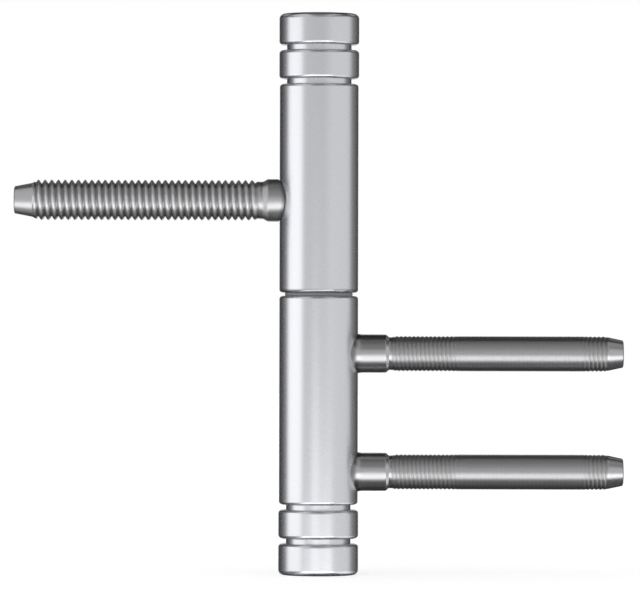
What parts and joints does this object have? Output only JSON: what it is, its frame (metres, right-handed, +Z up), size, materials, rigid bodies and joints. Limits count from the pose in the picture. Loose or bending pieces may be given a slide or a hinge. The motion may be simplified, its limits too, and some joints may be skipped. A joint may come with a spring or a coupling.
{
  "type": "overlay door hinge",
  "caption": "Lift-off barrel hinge with turned end finials, a coarse-threaded leaf stud and finely threaded frame studs, for drilling into an overlay door and its frame.",
  "frame": {"origin": "on the hinge axis, halfway up the gap between the two barrels", "axes": "+Z up along the hinge axis, +X towards the frame studs, and the picture looks along +Y"},
  "size_m": [0.116, 0.0152, 0.1068],
  "materials": {
    "satin_steel": "satin nickel-plated steel, faintly cool",
    "plated_stud": "bright zinc-plated turned steel",
    "pin_steel": "ground steel, lightly greased",
    "washer_plastic": "grey acetal",
    "bush_plastic": "natural acetal"
  },
  "bodies": {
    "frame": {"frame_barrel": "satin_steel", "hinge_pin": "pin_steel", "frame_stud_upper": "plated_stud", "frame_stud_lower": "plated_stud", "lower_finial": "satin_steel"},
    "washer": {"gap_washer": "washer_plastic"},
    "leaf": {"leaf_barrel": "satin_steel", "bearing_bush": "bush_plastic", "leaf_stud": "plated_stud", "upper_finial": "satin_steel"}
  },
  "joints": [
    {"name": "leaf_swing", "type": "hinge", "parent": "frame", "child": "washer", "pos_m": [0, 0, 0], "axis": [0, 0, 1], "continuous": true},
    {"name": "leaf_lift", "type": "slide", "parent": "washer", "child": "leaf", "axis": [0, 0, 1], "range_m": [0, 0.036]}
  ]
}
